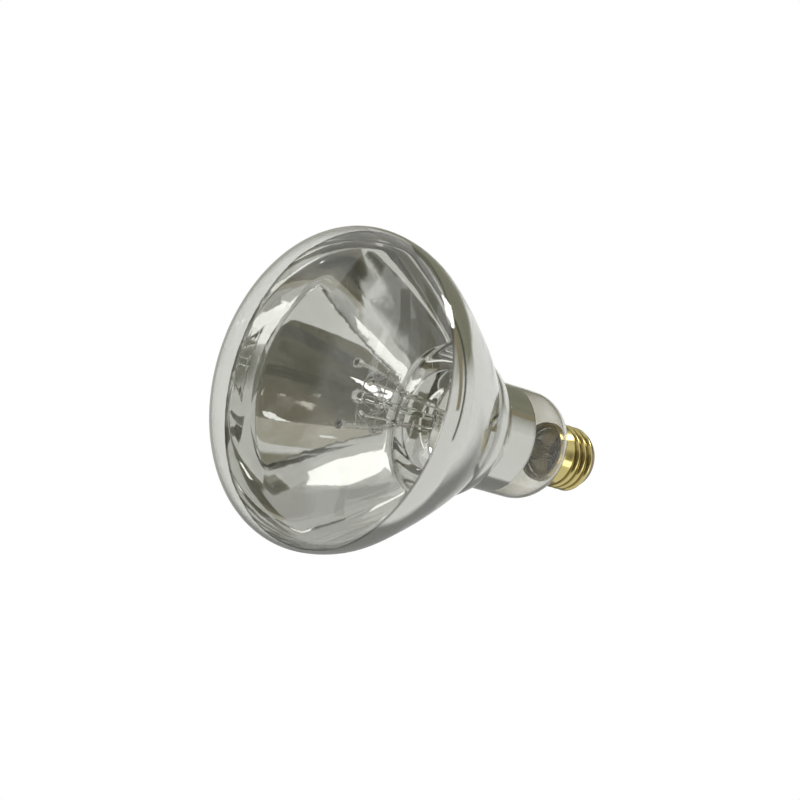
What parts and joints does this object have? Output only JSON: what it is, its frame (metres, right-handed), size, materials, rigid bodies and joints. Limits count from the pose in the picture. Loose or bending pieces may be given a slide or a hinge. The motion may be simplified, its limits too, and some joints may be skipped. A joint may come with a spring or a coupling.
{
  "type": "reflector heat lamp",
  "caption": "Clear-front infrared reflector lamp: silvered glass bowl and neck, coiled filament mount inside, brass medium screw base; hangs base up from its holder.",
  "frame": {"origin": "lowest point of the glass face, on the lamp's axis, with the lamp hung base up", "axes": "+Z along the lamp's axis from the face to the base; +Y towards the solder spot on the collar"},
  "size_m": [0.127, 0.127, 0.1657],
  "materials": {
    "clear_glass": "clear blown glass, smooth",
    "mirror_film": "bright vapour-deposited metal film",
    "brass": "rolled yellow brass, bright",
    "tungsten": "dull grey coiled wire",
    "nickel_wire": "drawn nickel wire",
    "molybdenum_wire": "drawn thin grey wire",
    "basing_cement": "pale pinkish baked cement, matt",
    "black_glass": "pressed black glass, glossy",
    "solder": "soft solder, satin"
  },
  "bodies": {
    "root": {"glass_envelope": "clear_glass", "reflector_film": "mirror_film", "glass_stem": "clear_glass", "glass_arbor": "clear_glass", "filament": "tungsten", "screw_shell": "brass", "base_cement": "basing_cement", "base_insulator": "black_glass", "centre_contact": "brass", "contact_solder": "solder", "side_solder": "solder", "lead_wire_1": "nickel_wire", "lead_wire_2": "nickel_wire", "support_wire_1": "molybdenum_wire", "support_wire_2": "molybdenum_wire", "support_wire_3": "molybdenum_wire", "support_wire_4": "molybdenum_wire"}
  },
  "joints": []
}
